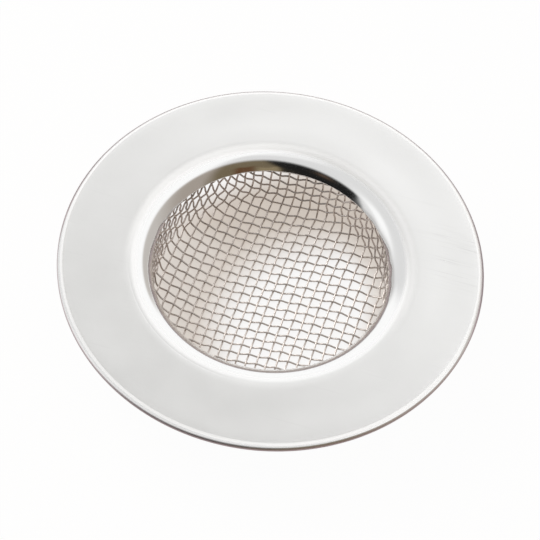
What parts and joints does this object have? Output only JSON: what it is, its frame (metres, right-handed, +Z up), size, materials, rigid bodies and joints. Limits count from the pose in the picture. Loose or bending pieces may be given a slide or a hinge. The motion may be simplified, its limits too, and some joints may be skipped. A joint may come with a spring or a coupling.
{
  "type": "sink strainer",
  "caption": "Drop-in sink strainer with a wide hemmed rim, a drawn throat and a shallow flat-bottomed basket of woven wire trapped by a ring under the rim.",
  "frame": {"origin": "on the axis of the rim, at the height of the basket's lowest wires, where it stands on a table", "axes": "+Z up along the axis of the rim, out of the basket's mouth; X along the weft wires and Y along the warp wires"},
  "size_m": [0.09, 0.09, 0.0144],
  "materials": {
    "rim_steel": "satin",
    "ring_steel": "satin",
    "wire_steel": "drawn"
  },
  "bodies": {
    "root": {"retaining_ring": "ring_steel", "rim": "rim_steel", "warp_wires_00": "wire_steel", "warp_wires_01": "wire_steel", "warp_wires_02": "wire_steel", "warp_wires_03": "wire_steel", "warp_wires_04": "wire_steel", "warp_wires_05": "wire_steel", "warp_wires_06": "wire_steel", "warp_wires_07": "wire_steel", "warp_wires_08": "wire_steel", "warp_wires_09": "wire_steel", "warp_wires_10": "wire_steel", "warp_wires_11": "wire_steel", "warp_wires_12": "wire_steel", "warp_wires_13": "wire_steel", "warp_wires_14": "wire_steel", "warp_wires_15": "wire_steel", "warp_wires_16": "wire_steel", "weft_wires_00": "wire_steel", "weft_wires_01": "wire_steel", "weft_wires_02": "wire_steel", "weft_wires_03": "wire_steel", "weft_wires_04": "wire_steel", "weft_wires_05": "wire_steel", "weft_wires_06": "wire_steel", "weft_wires_07": "wire_steel", "weft_wires_08": "wire_steel", "weft_wires_09": "wire_steel", "weft_wires_10": "wire_steel", "weft_wires_11": "wire_steel", "weft_wires_12": "wire_steel", "weft_wires_13": "wire_steel", "weft_wires_14": "wire_steel", "weft_wires_15": "wire_steel", "weft_wires_16": "wire_steel"}
  },
  "joints": []
}
